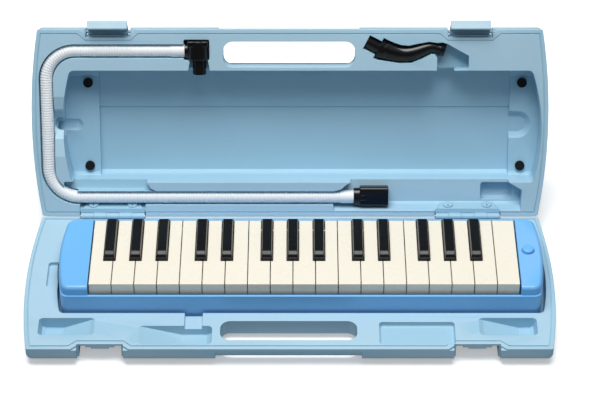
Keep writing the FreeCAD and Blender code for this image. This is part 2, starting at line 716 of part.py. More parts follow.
def heading(line, index):
    """The direction of a line of points at one of them."""
    before, after = line[max(index - 1, 0)], line[min(index + 1, len(line) - 1)]
    return Vector(after[0] - before[0], after[1] - before[1], 0).normalize()


def mouthpiece_outline(gap):
    """Plan outline round the mouthpiece: plug, collar, curved neck and lip flange, with a gap."""
    end, root = Vector(*PLUG_END, 0), Vector(*PLUG_ROOT, 0)
    way = (root - end).normalize()
    collar_r, flange_r = dim("collar_half_width") + gap, dim("flange_half_width") + gap
    plug_r = dim("plug_r") + gap
    stations = [(end - way * gap, way, plug_r), (root - way * (1 + gap), way, plug_r),
                (root - way * (1 + gap), way, collar_r), (root + way * (2.5 + gap), way, collar_r)]
    for index, (x, y, radius) in enumerate(NECK_LINE[1:-1], 1):
        stations.append((Vector(x, y, 0), heading(NECK_LINE, index), radius + gap))
    lip = Vector(*NECK_LINE[-1][:2], 0)
    stations += [(lip - LIP_WAY * gap, LIP_WAY, flange_r), (lip + LIP_WAY * (4.2 + gap), LIP_WAY, flange_r)]
    upper, lower = [], []
    for centre, onward, reach in stations:
        across = Vector(-onward.y, onward.x, 0) * reach
        upper.append((centre.x + across.x, centre.y + across.y))
        lower.append((centre.x - across.x, centre.y - across.y))
    return upper + lower[::-1]


def make_mouthpiece():
    """The short curved mouthpiece: a plug, a collar and a flattened curved neck with a lip flange."""
    z = MOUTHPIECE_DEPTH
    end, root = Vector(*PLUG_END, z), Vector(*PLUG_ROOT, z)
    plug_way = (root - end).normalize()
    sections = []
    for index, (x, y, radius) in enumerate(NECK_LINE):
        way = plug_way if index == 0 else heading(NECK_LINE, index)
        sections.append(oval(x, y, z, way, radius, min(radius, 6.0 + radius / 8)))
    neck = Part.makeLoft(sections, True)
    plug = Part.makeCone(dim("plug_r"), dim("plug_r") + 0.1, (root - end).Length, end, plug_way)
    half = dim("collar_half_width")
    rings = [root + plug_way * along for along in (-1.0, 2.5, 6.0)]
    collar = Part.makeLoft([oval(rings[0].x, rings[0].y, z, plug_way, half, 6.3),
                            oval(rings[1].x, rings[1].y, z, plug_way, half, 6.3)], True)
    shoulder = Part.makeLoft([oval(rings[1].x, rings[1].y, z, plug_way, half - 0.9, 6.2),
                              oval(rings[2].x, rings[2].y, z, plug_way, 8.6, 6.6)], True)
    lip = Vector(NECK_LINE[-1][0], NECK_LINE[-1][1], z)
    tip = lip + LIP_WAY * 4.2
    wide = dim("flange_half_width")
    flange = Part.makeLoft([oval(lip.x, lip.y, z, LIP_WAY, wide, 5.9),
                            oval(tip.x, tip.y, z, LIP_WAY, wide - 0.7, 5.4)], True)
    way_in = Part.makeCylinder(4.2, 22, end - plug_way, plug_way)
    way_out = Part.makeCylinder(2.6, 12, tip - LIP_WAY * 11, LIP_WAY)
    return all_of([neck, plug, collar, shoulder, flange]).cut([way_in, way_out]).removeSplitter()


# ---------------------------------------------------------------- instrument body

KEY_OPENING = (dim("keys_left") - 0.9, dim("keys_left") + 19 * dim("white_pitch") + 0.9)
CHAMBER = (-177.8, 199.0, -31.0, 32.0)
CHAMBER_WALL = 1.5
CHAMBER_TOP = 11.0
PLATE = 2.0
CELLS_FLOOR = -2.0
WIND_FLOOR = -13.3
CELL_Y = (-18.0, 26.0)
PALLET_Y = 10.0
HOLE_R = 2.9
SEAM_GAP = 0.12
CHEEK_SCREWS = [(x, y) for x in (-192.5, 216.5) for y in (-27.0, 41.0)]
BACK_SCREWS = [(-54.5, 47.0), (80.5, 47.0)]


def body_outline(inset=0.0):
    return barrel(dim("body_front") + inset, dim("body_back") - inset, dim("body_left") + inset,
                  dim("body_right") - inset, dim("body_bulge"))


def cell_centre(semitone):
    return dim("keys_left") + dim("first_cell") + semitone * dim("semitone_pitch")


def make_body_cover():
    """The upper cover: two cheeks, a front rail and a rear strip round the keyboard."""
    seam, top, wall = dim("body_seam") + SEAM_GAP, dim("body_top"), dim("body_wall")
    rail, set_back = dim("rail_top"), dim("cheek_set_back")
    skirt = mirrored_in_z(moulded(body_outline(), -seam, rail - seam, 6.0, 0.6))
    crown = barrel(dim("body_front") + set_back, dim("body_back"), dim("body_left") + 0.8,
                   dim("body_right") - 0.8, dim("body_bulge"))
    crown = mirrored_in_z(moulded(crown, 2 - rail, top - rail + 2, 8.0, 3.4))
    shape = skirt.fuse(crown)
    inside = mirrored_in_z(moulded(body_outline(wall + set_back), 1 - seam, top - wall - seam + 1, 4.0, 0))
    left, right = KEY_OPENING
    centre = block(left - wall, right + wall, -WIDE, WIDE, -BELOW, BELOW)
    cheeks = inside.cut(centre)
    back = dim("keys_back") + 0.7
    well = block(left, right, dim("body_front") + wall, back, seam - 1, top + 1)
    low_well = block(left, right, dim("body_front") + wall, dim("body_back") - wall, seam - 1, 21.0)
    front = block(left, right, dim("body_front") - 1, dim("body_front") + wall + 1, dim("rail_top"), top + 1)
    shape = shape.cut([cheeks, well, low_well, front])
    edges = [e for e in shape.Edges if e.BoundBox.ZMin > top - 0.01 and e.BoundBox.YLength > 60
             and left - 0.1 < e.BoundBox.XMin and e.BoundBox.XMax < right + 0.1]
    shape = shape.makeFillet(0.8, edges)
    lugs = []
    for gap in range(3, 31, 4):
        x = cell_centre(gap + 0.5)
        lugs.append(block(x - 0.9, x + 0.9, 42.5, 52.5, 14.0, 23.5))
    bosses = [disc(3.4, x, y, seam, top - wall + 0.5) for x, y in CHEEK_SCREWS]
    bosses += [disc(3.4, x, y, seam, 10.0) for x, y in BACK_SCREWS]
    bosses += [block(x - 3.4, x + 3.4, y, dim("body_back") - 1, seam, 10.0) for x, y in BACK_SCREWS]
    shelf = block(right + 1, right + 19, 2.0, 19.0, 6.0, 8.0)
    holes = [disc(1.35, x, y, seam - 1, 7.0) for x, y in CHEEK_SCREWS + BACK_SCREWS]
    holes.append(bar(dim("pivot_rod_r") + 0.05, left - 1.8, right + 1.8, dim("key_pivot_y"),
                     dim("key_pivot_up")))
    holes.append(bar(8.3, -230, -190, dim("socket_y"), dim("socket_up")))
    holes.append(disc(5.8, dim("drain_x"), dim("drain_y"), 20, top + 1))
    holes.append(disc(2.6, dim("drain_x"), dim("drain_y"), 5, 9))
    return shape.fuse(lugs + bosses + [shelf]).cut(holes).removeSplitter()


def make_body_tray():
    """The lower cover, whose floor closes the wind chamber."""
    seam, bottom, wall = dim("body_seam") - SEAM_GAP, dim("body_bottom"), dim("body_wall")
    shape = moulded(body_outline(), seam, seam - bottom, 6.0, 3.0)
    inside = moulded(body_outline(wall), seam + 1, seam + 1 - bottom - wall, 4.0, 1.5)
    shape = shape.cut(inside)
    screws = CHEEK_SCREWS + BACK_SCREWS
    posts = [disc(3.4, x, y, bottom + wall - 0.5, seam) for x, y in screws]
    holes = [disc(1.5, x, y, bottom - 1, seam + 1) for x, y in screws]
    holes += [disc(3.1, x, y, bottom - 1, bottom + 1.9) for x, y in screws]
    holes.append(bar(8.3, -230, -190, dim("socket_y"), dim("socket_up")))
    holes.append(disc(1.6, dim("drain_x"), dim("drain_y"), bottom - 1, bottom + wall + 1))
    return shape.fuse(posts).cut(holes).removeSplitter()


def chamber_inside(z0, z1):
    x0, x1, y0, y1 = CHAMBER
    wall = CHAMBER_WALL
    return block(x0 + wall, x1 - wall, y0 + wall, y1 - wall, z0, z1)


def make_reed_chamber():
    """The block with a cell and a valve hole per note above, and the wind chamber below."""
    x0, x1, y0, y1 = CHAMBER
    shape = block(x0, x1, y0, y1, WIND_FLOOR, CHAMBER_TOP)
    felt_rail = block(x0 + 2, x1 - 2, -30.5, -23.5, CHAMBER_TOP - 0.5, 18.0)
    tools = [chamber_inside(WIND_FLOOR - 1, CELLS_FLOOR - 2.5),
             block(x0 + CHAMBER_WALL, x1 - CHAMBER_WALL, -22.0, 30.0, CELLS_FLOOR - 3, CELLS_FLOOR),
             block(x0 - 1, x0 + 3, 0.0, 16.0, -12.3, -5.0)]
    half_cell = 5.1
    for semitone in range(32):
        x = cell_centre(semitone)
        tools.append(block(x - half_cell, x + half_cell, CELL_Y[0], CELL_Y[1], CELLS_FLOOR - 1,
                           CHAMBER_TOP - PLATE))
        tools.append(disc(HOLE_R, x, PALLET_Y, CHAMBER_TOP - PLATE - 1, CHAMBER_TOP + 1))
    for x, y in REED_SCREWS:
        tools.append(disc(0.85, x, y, CELLS_FLOOR - 1, CELLS_FLOOR + 6))
    return shape.fuse(felt_rail).cut(tools).removeSplitter()


REED_SCREWS = [(cell_centre(gap), y) for gap in (0.5, 7.5, 14.5, 16.5, 23.5, 30.5) for y in (-20.2, 28.2)]
REED_GASKET = 0.5
REED_PLATE = 1.2
REED = 0.3


def reed_slots(z0, z1, length_of, width):
    return [block(cell_centre(n) - width / 2, cell_centre(n) + width / 2, 22.0 - length_of(n), 22.0, z0, z1)
            for n in range(32)]


def reed_length(semitone):
    """Tongue length, falling from the lowest note to the highest."""
    return 33.0 * 2 ** (-semitone / 32.0)


def make_reed_plates():
    """Two brass plates, sixteen notes each, screwed under the cells."""
    top = CELLS_FLOOR - REED_GASKET
    plates = []
    for first, last in ((0, 15), (16, 31)):
        plate = block(cell_centre(first) - 5.0, cell_centre(last) + 5.0, -21.9, 29.9, top - REED_PLATE, top)
        plates.append(plate)
    cuts = reed_slots(top - 2, top + 1, lambda n: reed_length(n) - 2.0, 2.6)
    cuts += [disc(0.85, x, y, top - 2, top + 1) for x, y in REED_SCREWS]
    return [plate.cut(cuts) for plate in plates]


def make_reeds():
    """Thirty-two tongues riveted below their slots."""
    top = CELLS_FLOOR - REED_GASKET - REED_PLATE
    tongues = reed_slots(top - REED, top, lambda n: reed_length(n) - 2.4, 2.2)
    return [tongue.fuse(block(cell_centre(n) - 2.0, cell_centre(n) + 2.0, 21.8, 26.5, top - REED, top))
            for n, tongue in enumerate(tongues)]


def make_reed_screws():
    top = CELLS_FLOOR - REED_GASKET - REED_PLATE
    screws = []
    for x, y in REED_SCREWS:
        head = disc(1.5, x, y, top - 1.2, top)
        screws.append(head.fuse(disc(0.8, x, y, top - 0.5, CELLS_FLOOR + 5)).removeSplitter())
    return screws


def make_chamber_gaskets():
    """The sheet under the cells and the ring under the wind chamber."""
    sheet_top = CELLS_FLOOR
    seal = block(CHAMBER[0] + CHAMBER_WALL, CHAMBER[1] - CHAMBER_WALL, -21.9, 29.9,
                 sheet_top - REED_GASKET, sheet_top)
    cuts = [block(cell_centre(n) - 5.1, cell_centre(n) + 5.1, CELL_Y[0], CELL_Y[1],
                  sheet_top - 2, sheet_top + 1) for n in range(32)]
    cuts += [disc(0.85, x, y, sheet_top - 2, sheet_top + 1) for x, y in REED_SCREWS]
    floor = dim("body_bottom") + dim("body_wall")
    x0, x1, y0, y1 = CHAMBER
    ring = block(x0, x1, y0, y1, floor, WIND_FLOOR).cut(chamber_inside(floor - 1, WIND_FLOOR + 1))
    return [seal.cut(cuts), ring]


def make_blow_socket():
    """The socket at the left end and the duct that leads down into the wind chamber."""
    y, z = dim("socket_y"), dim("socket_up")
    mouth = dim("socket_mouth")
    pipe = bar(8.0, mouth, -193.0, y, z)
    collar = bar(9.0, mouth, mouth + 1.5, y, z)
    collar = collar.makeFillet(0.6, [e for e in collar.Edges if e.Closed and e.BoundBox.XMax < mouth + 0.1])
    duct = block(-195.0, -182.0, 0.0, 16.0, -12.3, 9.5)
    tongue = block(-183.0, -176.0, 0.0, 16.0, -12.3, -5.0)
    ways = [bar(dim("socket_bore_r"), mouth - 1, -195.4, y, z), bar(5.0, -196, -192, y, z),
            block(-193.5, -183.5, 1.5, 14.5, -10.8, 8.0), block(-184.0, -175, 1.5, 14.5, -10.8, -6.5)]
    return all_of([pipe, collar, duct, tongue]).cut(ways).removeSplitter()


def make_key_springs():
    """A bronze comb on the chamber: one finger rises under each key."""
    fingers = [block(CHAMBER[0] + 3, CHAMBER[1] - 3, 27.5, 31.5, CHAMBER_TOP, CHAMBER_TOP + 0.4)]
    for n in range(32):
        x = cell_centre(n)
        fingers.append(side_profile([(28.0, CHAMBER_TOP), (28.0, CHAMBER_TOP + 0.4), (18.3, 16.9),
                                     (17.3, 16.9), (17.3, 16.5), (18.1, 16.5), (27.6, CHAMBER_TOP)],
                                    x - 1.2, x + 1.2))
    return all_of(fingers).removeSplitter()


# ---------------------------------------------------------------- keys

NOTES = ("f", "f_sharp", "g", "g_sharp", "a", "a_sharp", "b", "c", "c_sharp", "d", "d_sharp", "e")
BLACK_OFFSETS = {1: 16.7, 3: 39.85, 5: 63.2, 8: 98.1, 10: 121.2}
OCTAVE = 7 * dim("white_pitch")


def note_name(semitone):
    octave = 3 + (semitone + 5) // 12
    return f"key_{NOTES[semitone % 12]}{octave}"


def black_centre(semitone):
    return dim("keys_left") + BLACK_OFFSETS[semitone % 12] + OCTAVE * (semitone // 12)


def is_black(semitone):
    return semitone % 12 in BLACK_OFFSETS


BLACKS = [n for n in range(32) if is_black(n)]
WHITES = [n for n in range(32) if not is_black(n)]


def key_works(semitone, under):
    """What every key has below its top: rib, pivot boss and the stem to its pallet."""
    x = cell_centre(semitone)
    y, z = dim("key_pivot_y"), dim("key_pivot_up")
    rib_front = -2.0 if is_black(semitone) else -18.0
    rib = block(x - 1.5, x + 1.5, rib_front, 49.0, 17.0, under + 0.5)
    boss = bar(3.9, x - 4.0, x + 4.0, y, z)
    web = block(x - 1.5, x + 1.5, 4.0, 16.0, 14.0, 18.0)
    stem = disc(1.3, x, PALLET_Y, 8.0, 15.0)
    return [rib, boss, web, stem], bar(dim("pivot_rod_r") + dim("running_clearance"), x - 5, x + 5, y, z)


def make_pallet(semitone):
    """The rubber pallet that closes the valve hole from below."""
    x = cell_centre(semitone)
    return disc(4.2, x, PALLET_Y, 7.2, 8.85).cut(disc(1.3, x, PALLET_Y, 7, 9))


def make_white_key(semitone):
    left = dim("keys_left") + WHITES.index(semitone) * dim("white_pitch")
    gap, top = dim("white_gap"), dim("white_top")
    x0, x1 = left + gap / 2, left + dim("white_pitch") - gap / 2
    under = top - 2.4
    plan = block(x0, x1, dim("white_front"), dim("keys_back") - 0.1, under, top)
    reach = dim("black_width") / 2 + gap
    notches = [block(black_centre(n) - reach, black_centre(n) + reach, dim("black_front") - gap, 60,
                     under - 1, top + 1) for n in BLACKS if abs(n - semitone) == 1]
    if notches:
        plan = plan.cut(notches)
    lip = block(x0, x1, dim("white_front"), dim("white_front") + 2.2, top - 12.0, top)
    works, bore = key_works(semitone, under)
    shell = plan.fuse(lip).removeSplitter()
    rounded = [e for e in shell.Edges if e.BoundBox.ZMin > top - 0.01]
    rounded += [e for e in upright_edges(shell) if e.BoundBox.YMax < dim("white_front") + 0.01]
    shell = shell.makeFillet(0.6, rounded)
    return all_of([shell] + works).cut(bore).removeSplitter()


def make_black_key(semitone):
    x, half = black_centre(semitone), dim("black_width") / 2
    top, foot, under = dim("black_top"), dim("white_top") + 0.6, dim("white_top") - 2.4
    front, back = dim("black_front"), dim("keys_back")
    nose = [(front, under), (front, foot + 1.6), (front + 0.6, foot + 2.0), (front + 2.4, top - 1.7),
            (front + 5.4, top)]
    length = side_profile(nose + [(back - 5.5, top), (back, foot + 1), (back, under)], x - 20, x + 20)
    sides = [(x - half, under), (x - half, foot), (x - half + 0.9, top), (x + half - 0.9, top),
             (x + half, foot), (x + half, under)]
    section = front_profile(sides, front - 20, back + 20)
    shell = length.common(section)
    shell = shell.makeFillet(0.5, [e for e in shell.Edges if e.BoundBox.ZMax > foot + 3])
    works, bore = key_works(semitone, under)
    return all_of([shell] + works).cut(bore).removeSplitter()


# ---------------------------------------------------------------- drain


def make_drain_button():
    """The domed button, its retaining flange and the stem of the water valve."""
    x, y, top = dim("drain_x"), dim("drain_y"), dim("body_top")
    cap = disc(5.4, x, y, top - 3.0, top + 3.0)
    cap = cap.makeFillet(1.8, [e for e in cap.Edges if e.Closed and e.BoundBox.ZMin > top + 2.9])
    flange = disc(7.0, x, y, top - 4.2, top - 2.6)
    stem = disc(2.2, x, y, -10.5, top - 3.0)
    return all_of([cap, flange, stem]).removeSplitter()


def make_drain_spring():
    """The return spring, each turn of its wire as a ring."""
    turns, low, high = 7, 8.9, dim("body_top") - 4.7
    step = (high - low) / (turns - 1)
    return [Part.makeTorus(4.0, 0.45, Vector(dim("drain_x"), dim("drain_y"), low + i * step))
            for i in range(turns)]


# ---------------------------------------------------------------- assembly


def make_hinge_pins():
    pins = []
    for side in (-1, 1):
        name = "hinge_pin_left" if side < 0 else "hinge_pin_right"
        left_end = f"{side} * hinge_x - hinge_width / 2 - 0.5"
        pins.append(rod_along_x(name, "hinge_pin_r", "hinge_width + 1",
                                (left_end, "case_half_depth", "base_deep")))
    return group("hinge_pins", pins)


def make_lid_pads():
    pads = []
    for i, (x, y) in enumerate(PADS):
        pads.append(post(f"lid_pad_{i}", "pad_r", PAD_FACE - LEDGE, (x, y, LEDGE)))
    return group("lid_pads", pads)


def make_body_screws():
    screws = []
    for i, (x, y) in enumerate(CHEEK_SCREWS + BACK_SCREWS):
        head = post(f"screw_head_{i}", 2.7, 1.6, (x, y, "body_bottom + 0.2"))
        shank = post(f"screw_shank_{i}", 1.25, 20.0, (x, y, "body_bottom + 1"))
        screws.append(joined(f"screw_{i}", [head, shank]))
    return group("body_screws", screws)


def make_key(semitone):
    """One node per key: its lever and the pallet pressed on its stem."""
    lever = make_black_key(semitone) if is_black(semitone) else make_white_key(semitone)
    return Part.Compound([lever, make_pallet(semitone)])


def assemble():
    def solid(label, shape, placement):
        shapes = shape if isinstance(shape, list) else [shape]
        node(label, drawn(label, shapes[0] if len(shapes) == 1 else Part.Compound(shapes)), placement)

    rear = Placement(HINGE_LINE, Rotation())
    solid("case_base", make_case_base(), RISE)
    solid("hinge_leaves_base", [make_hinge_leaf_base(x) for x in HINGES], rear)
    node("hinge_pins", make_hinge_pins())

    solid("case_lid", make_case_lid(), LID_REST)
    solid("hinge_leaves_lid", [make_hinge_leaf_lid(x) for x in HINGES], LID_REST)
    solid("hinge_rivets_lid", [head for x in HINGES for head in make_rivet_heads(x)], LID_REST)
    node("lid_pads", make_lid_pads(), LID_REST)
    for side, centre in zip(("left", "right"), LATCHES):
        solid(f"latch_{side}", latch_section(centre), LID_REST.multiply(SWUNG_OUT))

    solid("hose_tube", make_hose_tube(), LID_REST)
    solid("hose_cuffs", make_hose_cuffs(), LID_REST)
    solid("hose_elbow", make_hose_elbow(), LID_REST)
    solid("hose_lip_piece", make_hose_lip_piece(), LID_REST)
    solid("playing_mouthpiece", make_mouthpiece(), LID_REST)

    solid("body_cover", make_body_cover(), RISE)
    solid("body_tray", make_body_tray(), RISE)
    solid("reed_chamber", make_reed_chamber(), RISE)
    solid("chamber_gaskets", make_chamber_gaskets(), RISE)
    solid("reed_plates", make_reed_plates(), RISE)
    solid("reeds", make_reeds(), RISE)
    solid("reed_plate_screws", make_reed_screws(), RISE)
    solid("blow_socket", make_blow_socket(), RISE)
    solid("key_springs", make_key_springs(), RISE)
    node("key_pivot_rod", rod_along_x("key_pivot_rod", "pivot_rod_r", "19 * white_pitch + 5",
                                      ("keys_left - 2.5", "key_pivot_y", "base_deep + key_pivot_up")))
    node("key_felt", box("key_felt", (CHAMBER[1] - CHAMBER[0] - 6, 6.0, 3.0),
                         (CHAMBER[0] + 3, -30.0, "base_deep + 18")))
    node("body_screws", make_body_screws(), RISE)
    for semitone in range(32):
        solid(note_name(semitone), make_key(semitone), RISE)

    solid("drain_button", make_drain_button(), RISE)
    solid("drain_spring", make_drain_spring(), RISE)


def check_document():
    doc.recompute()
    for thing in doc.Objects:
        faults = {"Invalid", "Error"}.intersection(thing.State)
        if faults:
            raise RuntimeError(f"{thing.Label}: {sorted(faults)}")
    for label, thing in NODES.items():
        if thing.Shape.isNull() or not thing.Shape.isValid():
            raise RuntimeError(f"{label}: shape is null or not valid")


def export_nodes():
    os.makedirs("parts", exist_ok=True)
    for label, thing in NODES.items():
        thing.Shape.exportStep(f"parts/{label}.step")
        bounds = thing.Shape.optimalBoundingBox()
        sizes = (bounds.XMin, bounds.XMax, bounds.YMin, bounds.YMax, bounds.ZMin, bounds.ZMax)
        print(f"{label:20s} {len(thing.Shape.Solids):3d} solids", " ".join(f"{v:8.2f}" for v in sizes),
              f"{thing.Shape.Volume / 1000:9.2f} cm3")


assemble()
check_document()
export_nodes()
print(len(NODES), "nodes; hose length", round(hose_path(dim("hose_sunk")).Length, 1), "mm")
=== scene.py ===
"""Looks of the melodica in its open case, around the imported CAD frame. Metres throughout."""

import json
import math

import bpy
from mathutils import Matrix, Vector

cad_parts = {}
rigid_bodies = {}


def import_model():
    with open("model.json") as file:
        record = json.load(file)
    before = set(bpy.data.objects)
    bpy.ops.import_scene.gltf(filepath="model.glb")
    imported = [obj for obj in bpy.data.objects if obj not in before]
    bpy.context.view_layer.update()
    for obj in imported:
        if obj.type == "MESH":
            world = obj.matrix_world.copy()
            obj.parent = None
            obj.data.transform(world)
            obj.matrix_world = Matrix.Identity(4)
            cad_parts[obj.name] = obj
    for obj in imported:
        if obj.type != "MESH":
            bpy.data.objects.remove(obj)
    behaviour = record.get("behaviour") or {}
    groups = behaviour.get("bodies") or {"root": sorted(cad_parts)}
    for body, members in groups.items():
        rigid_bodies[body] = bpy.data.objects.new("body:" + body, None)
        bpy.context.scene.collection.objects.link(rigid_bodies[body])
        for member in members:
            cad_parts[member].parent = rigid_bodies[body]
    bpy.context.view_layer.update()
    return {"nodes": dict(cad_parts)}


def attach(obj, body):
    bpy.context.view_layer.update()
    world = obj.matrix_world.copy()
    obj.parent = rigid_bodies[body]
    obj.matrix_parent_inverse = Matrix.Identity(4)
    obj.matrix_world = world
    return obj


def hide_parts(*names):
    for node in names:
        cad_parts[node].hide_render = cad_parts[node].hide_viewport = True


for default in list(bpy.data.objects):
    bpy.data.objects.remove(default)

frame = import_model()
nodes = frame["nodes"]
scene = bpy.context.scene
scene.view_settings.view_transform = "Standard"
scene.view_settings.look = "None"


# ---------------------------------------------------------------- camera, lights, floor

CAMERA_PLACE = (0.00913, -1.48768, 1.38485)
CAMERA_TILT = 49.31
CAMERA_LENS, CAMERA_SENSOR = 134.76, 36.0
FLOOR_SIZE, FLOOR_DROP = 12.0, 0.0004
FLOOR_SEEN, FLOOR_THROWN = (0.9, 0.91, 0.92, 1.0), (0.36, 0.40, 0.43, 1.0)
FLOOR_GLOW, FLOOR_ROUGHNESS = 0.4, 0.75
WORLD_TINT, WORLD_STRENGTH = (0.87, 0.95, 1.0, 1.0), 0.12


def aim(thing, target):
    """Turn a light so that it faces a point."""
    thing.rotation_euler = (Vector(target) - thing.location).to_track_quat("-Z", "Y").to_euler()


def make_camera():
    """A long lens in front of the case, looking down at it."""
    data = bpy.data.cameras.new("photo_camera")
    data.sensor_width = CAMERA_SENSOR
    data.lens = CAMERA_LENS
    data.clip_start, data.clip_end = 0.05, 30.0
    camera = bpy.data.objects.new("photo_camera", data)
    camera.location = CAMERA_PLACE
    camera.rotation_euler = (math.radians(CAMERA_TILT), 0.0, 0.0)
    scene.collection.objects.link(camera)
    scene.camera = camera


def softbox(name, size, location, target, power, tint=(1.0, 1.0, 1.0)):
    """A rectangular area light turned towards a point."""
    data = bpy.data.lights.new(name, "AREA")
    data.shape = "RECTANGLE"
    data.size, data.size_y = size
    data.energy = power
    data.color = tint
    light = bpy.data.objects.new(name, data)
    light.location = location
    scene.collection.objects.link(light)
    aim(light, target)


def make_lights():
    """A big soft light overhead, a little cool light from the front, a faint one behind the lid."""
    world = bpy.data.worlds.new("studio")
    world.use_nodes = True
    background = world.node_tree.nodes["Background"]
    background.inputs["Color"].default_value = WORLD_TINT
    background.inputs["Strength"].default_value = WORLD_STRENGTH
    scene.world = world
    softbox("overhead", (1.5, 1.0), (-0.1, -0.15, 2.0), (0.0, 0.04, 0.05), 43.5)
    softbox("front_fill", (2.0, 0.6), (0.0, -1.6, 2.2), (0.0, 0.1, 0.1), 2.0, (0.85, 0.94, 1.0))
    softbox("back_fill", (1.6, 0.6), (0.0, 2.2, 0.9), (0.0, 0.15, 0.08), 7.0)


def make_floor():
    """A pale floor; it looks white, but throws only a little light back onto the case."""
    bpy.ops.mesh.primitive_plane_add(size=FLOOR_SIZE, location=(0.0, 1.0, -FLOOR_DROP))
    floor = bpy.context.active_object
    floor.name = "studio_floor"
    made = bpy.data.materials.new("floor_white")
    made.use_nodes = True
    add, link = made.node_tree.nodes.new, made.node_tree.links.new
    seen = made.node_tree.nodes["Principled BSDF"]
    seen.inputs["Base Color"].default_value = FLOOR_SEEN
    seen.inputs["Emission Color"].default_value = (1.0, 1.0, 1.0, 1.0)
    seen.inputs["Emission Strength"].default_value = FLOOR_GLOW
    thrown = add("ShaderNodeBsdfPrincipled")
    thrown.inputs["Base Color"].default_value = FLOOR_THROWN
    for shader in (seen, thrown):
        shader.inputs["Roughness"].default_value = FLOOR_ROUGHNESS
        shader.inputs["Specular IOR Level"].default_value = 0.0
    choice = add("ShaderNodeMixShader")
    link(add("ShaderNodeLightPath").outputs["Is Camera Ray"], choice.inputs[0])
    link(thrown.outputs[0], choice.inputs[1])
    link(seen.outputs[0], choice.inputs[2])
    link(choice.outputs[0], made.node_tree.nodes["Material Output"].inputs["Surface"])
    floor.data.materials.append(made)


# ---------------------------------------------------------------- materials

class Maker:
    """Builds one procedural material, node by node."""

    def __init__(self, name):
        self.material = bpy.data.materials.new(name)
        self.material.use_nodes = True
        self.tree = self.material.node_tree
        self.shader = self.tree.nodes["Principled BSDF"]
        self.where = self.tree.nodes.new("ShaderNodeTexCoord").outputs["Object"]

    def add(self, kind, **values):
        made = self.tree.nodes.new(kind)
        for key, value in values.items():
            if hasattr(made, key):
                setattr(made, key, value)
            else:
                made.inputs[key.replace("_", " ")].default_value = value
        return made

    def link(self, source, target):
        self.tree.links.new(source, target)

    def noise(self, scale, detail=2.0, stretch=(1.0, 1.0, 1.0)):
        mapping = self.add("ShaderNodeMapping")
        mapping.inputs["Scale"].default_value = stretch
        self.link(self.where, mapping.inputs["Vector"])
        made = self.add("ShaderNodeTexNoise")
        made.inputs["Scale"].default_value = scale
        made.inputs["Detail"].default_value = detail
        self.link(mapping.outputs["Vector"], made.inputs["Vector"])
        return made.outputs["Fac"]

    def spread(self, source, low, high, start=0.3, end=0.7):
        made = self.add("ShaderNodeMapRange")
        made.inputs["From Min"].default_value = start
        made.inputs["From Max"].default_value = end
        made.inputs["To Min"].default_value = low
        made.inputs["To Max"].default_value = high
        self.link(source, made.inputs["Value"])
        return made.outputs["Result"]

    def tint(self, factor, colour_a, colour_b):
        made = self.add("ShaderNodeMix", data_type="RGBA")
        self.link(factor, made.inputs[0])
        for socket, colour in ((made.inputs[6], colour_a), (made.inputs[7], colour_b)):
            if isinstance(colour, tuple):
                socket.default_value = (*colour, 1.0)
            else:
                self.link(colour, socket)
        return made.outputs[2]

    def rounded(self, radius):
        made = self.add("ShaderNodeBevel", samples=4)
        made.inputs["Radius"].default_value = radius
        return made.outputs["Normal"]

    def bump(self, height, strength, distance, normal=None):
        made = self.add("ShaderNodeBump")
        made.inputs["Strength"].default_value = strength
        made.inputs["Distance"].default_value = distance
        self.link(height, made.inputs["Height"])
        if normal is not None:
            self.link(normal, made.inputs["Normal"])
        return made.outputs["Normal"]

    def finish(self, colour, roughness, normal, **plain):
        self.link(colour, self.shader.inputs["Base Color"])
        if isinstance(roughness, float):
            self.shader.inputs["Roughness"].default_value = roughness
        else:
            self.link(roughness, self.shader.inputs["Roughness"])
        if normal is not None:
            self.link(normal, self.shader.inputs["Normal"])
        for key, value in plain.items():
            self.shader.inputs[key.replace("_", " ")].default_value = value
        return self.material


def shade(colour, factor):
    """A colour made darker or lighter by a factor."""
    return tuple(channel * factor for channel in colour)


def moulded_plastic(name, colour, roughness, grain=900.0, grain_height=0.00003, radius=0.0005,
                    wave=0.00025, wave_scale=9.0, vary=0.05, painted_edge_highlight=0.0, **plain):
    """Moulded plastic: slight drift of colour and gloss, fine mould grain, slow sink waves, and a
    painted highlight that pales sharp convex edges.
    """
    m = Maker(name)
    drift = m.noise(6.0, 3.0)
    cloud = m.spread(drift, 0.0, 1.0)
    tone = m.tint(cloud, shade(colour, 1.0 - vary), shade(colour, 1.0 + vary * 0.5))
    speck = m.spread(m.noise(420.0, 2.0), 0.0, 0.35, 0.62, 0.75)
    tone = m.tint(speck, tone, shade(colour, 0.93))
    # Painted highlight: sharp convex edges, found by pointiness, are tinted towards a pale cool white.
    if painted_edge_highlight > 0.0:
        edge = m.add("ShaderNodeNewGeometry").outputs["Pointiness"]
        tone = m.tint(m.spread(edge, 0.0, painted_edge_highlight, 0.5, 0.56), tone, (0.9, 0.94, 0.97))
    gloss = m.spread(m.noise(35.0, 4.0), roughness - 0.05, roughness + 0.06)
    normal = m.rounded(radius)
    normal = m.bump(m.noise(wave_scale, 1.0), 1.0, wave, normal)
    normal = m.bump(m.noise(grain, 3.0), 1.0, grain_height, normal)
    return m.finish(tone, gloss, normal, **plain)


def metal(name, colour, roughness, stretch=(1.0, 1.0, 1.0), radius=0.0003):
    """Bright metal with fine drawn or tumbled marks."""
    m = Maker(name)
    marks = m.noise(1200.0, 3.0, stretch)
    tone = m.tint(m.spread(m.noise(60.0, 3.0), 0.0, 1.0), shade(colour, 0.86), colour)
    gloss = m.spread(marks, roughness - 0.07, roughness + 0.1)
    normal = m.bump(marks, 0.6, 0.00002, m.rounded(radius))
    return m.finish(tone, gloss, normal, Metallic=1.0)


def felt(name, colour):
    """Soft matt cloth with a fine fibre."""
    m = Maker(name)
    fibre = m.noise(1500.0, 5.0, (1.0, 1.0, 2.5))
    tone = m.tint(m.spread(fibre, 0.0, 1.0), shade(colour, 0.6), shade(colour, 1.2))
    normal = m.bump(fibre, 1.0, 0.0004)
    return m.finish(tone, 0.95, normal, Sheen_Weight=0.4)


